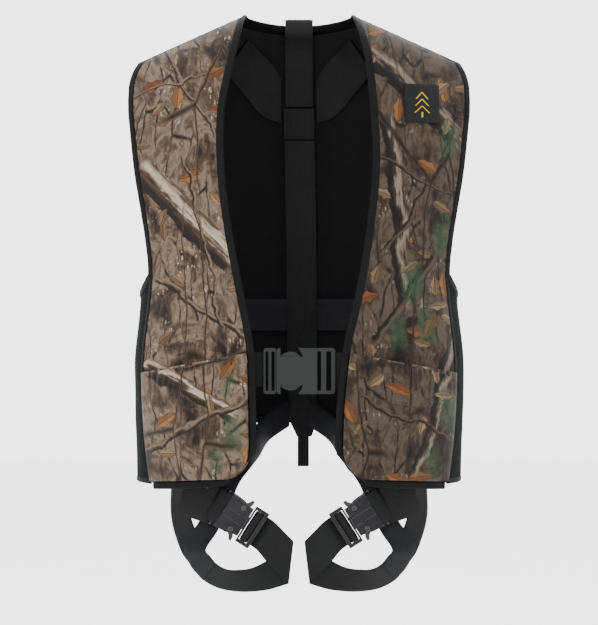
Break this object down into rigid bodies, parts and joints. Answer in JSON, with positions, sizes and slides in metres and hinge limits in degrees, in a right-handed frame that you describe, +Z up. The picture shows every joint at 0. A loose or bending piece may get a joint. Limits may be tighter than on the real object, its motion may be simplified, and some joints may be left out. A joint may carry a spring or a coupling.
{
  "type": "safety harness vest",
  "caption": "Sleeveless field vest with a sewn-in full-body harness: spine and shoulder straps, waist belt with side-release buckle, leg loops with quick-release buckles, rear tether.",
  "frame": {"origin": "midway between the two neck points of the shoulders, where the wearer holds the vest up", "axes": "+Z up, -Y the way the wearer faces, +X to the wearer's left"},
  "size_m": [0.4644, 0.273, 0.7941],
  "materials": {
    "camouflage": "brushed polyester print",
    "black_cloth": "matt woven",
    "green_cloth": "matt stretch knit",
    "binding": "ribbed tape",
    "webbing": "satin woven",
    "navy_webbing": "satin woven",
    "badge": "woven badge",
    "plastic": "moulded",
    "gunmetal": "satin",
    "steel": "bright"
  },
  "bodies": {
    "vest": {"front_panel_r": "camouflage", "front_panel_l": "camouflage", "pocket_r": "camouflage", "pocket_l": "camouflage", "back_panel": "black_cloth", "back_lining": "black_cloth", "side_panel_r": "green_cloth", "side_panel_l": "green_cloth", "neck_binding": "binding", "back_hem_binding": "binding", "front_binding_r": "binding", "front_binding_l": "binding", "armhole_binding_r": "binding", "armhole_binding_l": "binding", "badge": "badge", "spine_patch": "webbing", "spine_strap": "webbing", "drop_loop": "webbing", "tether_root": "webbing", "waist_belt_back": "webbing", "waist_belt_l": "webbing", "shoulder_strap_r": "webbing", "hip_strap_r": "webbing", "seat_strap_r": "navy_webbing", "shoulder_strap_l": "webbing", "hip_strap_l": "webbing", "seat_strap_l": "navy_webbing", "waist_buckle_body": "plastic"},
    "tether": {"tether_strap": "webbing"},
    "waist_plug": {"waist_buckle_plug": "plastic", "waist_belt_r": "webbing"},
    "waist_arm_top": {"waist_arm_top": "plastic"},
    "waist_arm_low": {"waist_arm_low": "plastic"},
    "leg_loop_r": {"leg_strap_outer_r": "webbing", "leg_strap_tail_r": "navy_webbing", "leg_strap_loop_r": "webbing", "leg_buckle_base_r": "gunmetal", "leg_buckle_cover_r": "gunmetal", "leg_rivet_upper_r": "steel", "leg_rivet_lower_r": "steel", "leg_spring_r": "steel", "leg_strap_front_r": "webbing"},
    "leg_tongue_r": {"leg_tongue_r": "gunmetal"},
    "leg_friction_bar_r": {"leg_friction_bar_r": "gunmetal"},
    "leg_lever_upper_r": {"leg_lever_upper_r": "steel"},
    "leg_lever_lower_r": {"leg_lever_lower_r": "steel"},
    "leg_loop_l": {"leg_strap_outer_l": "webbing", "leg_strap_tail_l": "navy_webbing", "leg_strap_loop_l": "webbing", "leg_buckle_base_l": "gunmetal", "leg_buckle_cover_l": "gunmetal", "leg_rivet_upper_l": "steel", "leg_rivet_lower_l": "steel", "leg_spring_l": "steel", "leg_strap_front_l": "webbing"},
    "leg_tongue_l": {"leg_tongue_l": "gunmetal"},
    "leg_friction_bar_l": {"leg_friction_bar_l": "gunmetal"},
    "leg_lever_upper_l": {"leg_lever_upper_l": "steel"},
    "leg_lever_lower_l": {"leg_lever_lower_l": "steel"}
  },
  "joints": [
    {"name": "tether_lift", "type": "hinge", "parent": "vest", "child": "tether", "pos_m": [0, 0.0605, 0.0045], "axis": [1, 0, 0], "range_deg": [0, 150]},
    {"name": "waist_buckle_release", "type": "slide", "parent": "vest", "child": "waist_plug", "axis": [-1, 0, 0], "range_m": [0, 0.045], "deforming": ["waist_arm_top", "waist_arm_low"]},
    {"name": "waist_arm_top_squeeze", "type": "hinge", "parent": "waist_plug", "child": "waist_arm_top", "pos_m": [-0.0296, -0.092, -0.4696], "axis": [0, 1, 0], "range_deg": [0, 10], "stiffness_Nm_per_rad": 0.05},
    {"name": "waist_arm_low_squeeze", "type": "hinge", "parent": "waist_plug", "child": "waist_arm_low", "pos_m": [-0.0296, -0.092, -0.5008], "axis": [0, 1, 0], "range_deg": [-10, 0], "stiffness_Nm_per_rad": 0.05},
    {"name": "leg_loop_swing_r", "type": "hinge", "parent": "vest", "child": "leg_loop_r", "pos_m": [0, -0.0493, -0.634], "axis": [1, 0, 0], "range_deg": [-30, 22]},
    {"name": "leg_buckle_release_r", "type": "slide", "parent": "leg_loop_r", "child": "leg_tongue_r", "axis": [0.8443, 0, -0.5358], "range_m": [0, 0.032], "deforming": ["leg_spring_r", "leg_strap_front_r"]},
    {"name": "leg_adjuster_r", "type": "slide", "parent": "leg_tongue_r", "child": "leg_friction_bar_r", "axis": [0.8443, 0, -0.5358], "range_m": [-0.0004, 0.0015]},
    {"name": "leg_lever_upper_squeeze_r", "type": "hinge", "parent": "leg_loop_r", "child": "leg_lever_upper_r", "pos_m": [-0.07423, -0.05, -0.67034], "axis": [0, -1, 0], "range_deg": [-8, 0], "stiffness_Nm_per_rad": 0.05},
    {"name": "leg_lever_lower_squeeze_r", "type": "hinge", "parent": "leg_loop_r", "child": "leg_lever_lower_r", "pos_m": [-0.09191, -0.05, -0.69821], "axis": [0, -1, 0], "range_deg": [0, 8], "stiffness_Nm_per_rad": 0.05},
    {"name": "leg_loop_swing_l", "type": "hinge", "parent": "vest", "child": "leg_loop_l", "pos_m": [0, -0.0493, -0.634], "axis": [1, 0, 0], "range_deg": [-30, 22]},
    {"name": "leg_buckle_release_l", "type": "slide", "parent": "leg_loop_l", "child": "leg_tongue_l", "axis": [-0.8443, 0, -0.5358], "range_m": [0, 0.032], "deforming": ["leg_spring_l", "leg_strap_front_l"]},
    {"name": "leg_adjuster_l", "type": "slide", "parent": "leg_tongue_l", "child": "leg_friction_bar_l", "axis": [-0.8443, 0, -0.5358], "range_m": [-0.0004, 0.0015]},
    {"name": "leg_lever_upper_squeeze_l", "type": "hinge", "parent": "leg_loop_l", "child": "leg_lever_upper_l", "pos_m": [0.07423, -0.05, -0.67034], "axis": [0, -1, 0], "range_deg": [0, 8], "stiffness_Nm_per_rad": 0.05},
    {"name": "leg_lever_lower_squeeze_l", "type": "hinge", "parent": "leg_loop_l", "child": "leg_lever_lower_l", "pos_m": [0.09191, -0.05, -0.69821], "axis": [0, -1, 0], "range_deg": [-8, 0], "stiffness_Nm_per_rad": 0.05}
  ]
}
